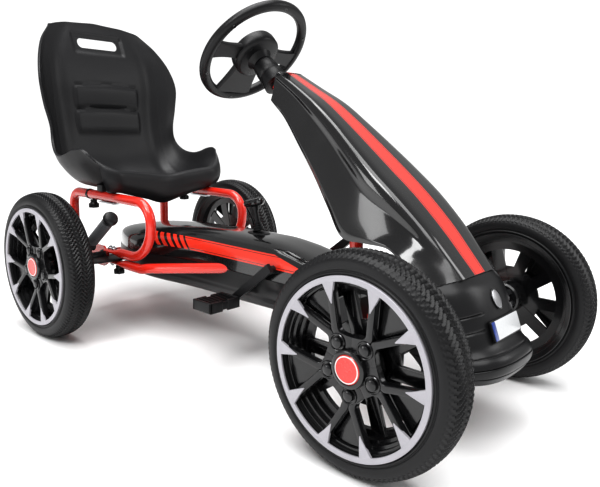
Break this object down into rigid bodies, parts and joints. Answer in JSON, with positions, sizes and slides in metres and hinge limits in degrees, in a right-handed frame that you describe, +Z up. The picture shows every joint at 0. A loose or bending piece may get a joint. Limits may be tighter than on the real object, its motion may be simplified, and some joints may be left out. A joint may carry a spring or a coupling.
{
  "type": "pedal go kart",
  "caption": "Four-wheeled pedal go kart with a bucket seat on tube hoops, drop-arm steering, a chain drive in a casing, and a hand brake.",
  "frame": {"origin": "on the ground, under the middle of the kart's overall length and width", "axes": "-Y is the way the kart faces, +Z is up, and the driver's right hand is on the -X side"},
  "size_m": [0.6162, 1.2314, 0.717],
  "materials": {
    "red_paint": "gloss red powder coat",
    "gloss_black": "gloss black moulding",
    "satin_black": "satin black moulding",
    "black_steel": "satin black paint",
    "seat_plastic": "satin charcoal blow moulding",
    "grip_grey": "ribbed grey grip",
    "foam_tyre": "dark foam tread",
    "rim_black": "gloss black with a grey toothed ring",
    "cap_red": "gloss red",
    "zinc_steel": "zinc plated",
    "dark_steel": "dark steel",
    "nylon": "natural nylon"
  },
  "bodies": {
    "chassis": {"main_frame": "dark_steel", "rear_frame": "red_paint", "axle_bracket_left": "red_paint", "axle_bracket_right": "red_paint", "axle_bush_left": "nylon", "axle_bush_right": "nylon", "side_tube_left": "red_paint", "side_tube_right": "red_paint", "front_axle_beam": "black_steel", "kingpin_left": "zinc_steel", "kingpin_right": "zinc_steel", "column_housing": "red_paint", "column_bush_upper": "nylon", "column_bush_lower": "nylon", "column_shroud": "satin_black", "crank_bush_left": "nylon", "crank_bush_right": "nylon", "chain": "dark_steel", "casing_upper": "gloss_black", "casing_lower": "satin_black", "fairing": "gloss_black", "front_bumper": "satin_black", "brake_bracket": "black_steel", "lower_knob_left": "satin_black", "lower_knob_right": "satin_black"},
    "seat_unit": {"seat": "seat_plastic", "seat_hoop_left": "red_paint", "seat_hoop_right": "red_paint", "seat_strap_left": "zinc_steel", "seat_strap_right": "zinc_steel", "upper_knob_left": "satin_black", "upper_knob_right": "satin_black"},
    "steering_unit": {"steering_wheel": "satin_black", "steering_shaft": "zinc_steel"},
    "knuckle_right": {"knuckle_right": "black_steel"},
    "knuckle_left": {"knuckle_left": "black_steel"},
    "tie_rod_right": {"tie_rod_right": "zinc_steel"},
    "tie_rod_left": {"tie_rod_left": "zinc_steel"},
    "front_wheel_right": {"front_tyre_right": "foam_tyre", "front_rim_right": "rim_black", "front_cap_right": "cap_red"},
    "front_wheel_left": {"front_tyre_left": "foam_tyre", "front_rim_left": "rim_black", "front_cap_left": "cap_red"},
    "rear_axle_unit": {"rear_axle": "zinc_steel", "brake_drum": "dark_steel", "rear_sprocket": "dark_steel", "rear_tyre_right": "foam_tyre", "rear_rim_right": "rim_black", "rear_cap_right": "cap_red"},
    "rear_wheel_left": {"rear_tyre_left": "foam_tyre", "rear_rim_left": "rim_black", "rear_cap_left": "cap_red"},
    "crank": {"crank": "zinc_steel"},
    "pedal_right": {"pedal_right": "satin_black"},
    "pedal_left": {"pedal_left": "satin_black"},
    "hand_brake": {"brake_lever": "dark_steel", "brake_grip": "grip_grey"},
    "shift_lever": {"shift_lever": "dark_steel", "shift_handle": "satin_black"}
  },
  "joints": [
    {"name": "steering", "type": "hinge", "parent": "chassis", "child": "steering_unit", "pos_m": [0, 0.008, 0.6141], "axis": [0, 0.7201, 0.6939], "range_deg": [-35, 35]},
    {"name": "knuckle_right", "type": "hinge", "parent": "chassis", "child": "knuckle_right", "pos_m": [-0.185, -0.4567, 0.159], "axis": [0, 0, 1], "range_deg": [-24, 24]},
    {"name": "knuckle_left", "type": "hinge", "parent": "chassis", "child": "knuckle_left", "pos_m": [0.185, -0.4567, 0.159], "axis": [0, 0, 1], "range_deg": [-24, 24]},
    {"name": "tie_rod_right", "type": "hinge", "parent": "knuckle_right", "child": "tie_rod_right", "pos_m": [-0.185, -0.3767, 0.17], "axis": [0, 0, 1], "range_deg": [-24, 24]},
    {"name": "tie_rod_left", "type": "hinge", "parent": "knuckle_left", "child": "tie_rod_left", "pos_m": [0.185, -0.3767, 0.17], "axis": [0, 0, 1], "range_deg": [-24, 24]},
    {"name": "front_wheel_right", "type": "hinge", "parent": "knuckle_right", "child": "front_wheel_right", "pos_m": [-0.2433, -0.4567, 0.159], "axis": [1, 0, 0], "continuous": true},
    {"name": "front_wheel_left", "type": "hinge", "parent": "knuckle_left", "child": "front_wheel_left", "pos_m": [0.2433, -0.4567, 0.159], "axis": [1, 0, 0], "continuous": true},
    {"name": "rear_axle", "type": "hinge", "parent": "chassis", "child": "rear_axle_unit", "pos_m": [0, 0.3681, 0.159], "axis": [1, 0, 0], "continuous": true},
    {"name": "rear_wheel_left", "type": "hinge", "parent": "chassis", "child": "rear_wheel_left", "pos_m": [0.2734, 0.3681, 0.159], "axis": [1, 0, 0], "continuous": true},
    {"name": "crank", "type": "hinge", "parent": "chassis", "child": "crank", "pos_m": [0, -0.1223, 0.203], "axis": [1, 0, 0], "continuous": true},
    {"name": "pedal_right", "type": "hinge", "parent": "crank", "child": "pedal_right", "pos_m": [-0.1345, -0.03293, 0.13063], "axis": [1, 0, 0], "continuous": true},
    {"name": "pedal_left", "type": "hinge", "parent": "crank", "child": "pedal_left", "pos_m": [0.1345, -0.21167, 0.27537], "axis": [1, 0, 0], "continuous": true},
    {"name": "hand_brake", "type": "hinge", "parent": "chassis", "child": "hand_brake", "pos_m": [-0.198, 0.3207, 0.2], "axis": [-1, 0, 0], "range_deg": [0, 15]},
    {"name": "shift_lever", "type": "hinge", "parent": "chassis", "child": "shift_lever", "pos_m": [0, -0.0183, 0.232], "axis": [1, 0, 0], "range_deg": [-12, 12]},
    {"name": "seat_slide", "type": "slide", "parent": "chassis", "child": "seat_unit", "axis": [0, -1, 0], "range_m": [0, 0.03]}
  ],
  "couplings": [
    {"joint": "knuckle_right", "follows": "steering", "ratio": 0.68},
    {"joint": "tie_rod_right", "follows": "steering", "ratio": -0.68},
    {"joint": "knuckle_left", "follows": "steering", "ratio": 0.68},
    {"joint": "tie_rod_left", "follows": "steering", "ratio": -0.68},
    {"joint": "crank", "follows": "rear_axle", "ratio": 0.75}
  ]
}
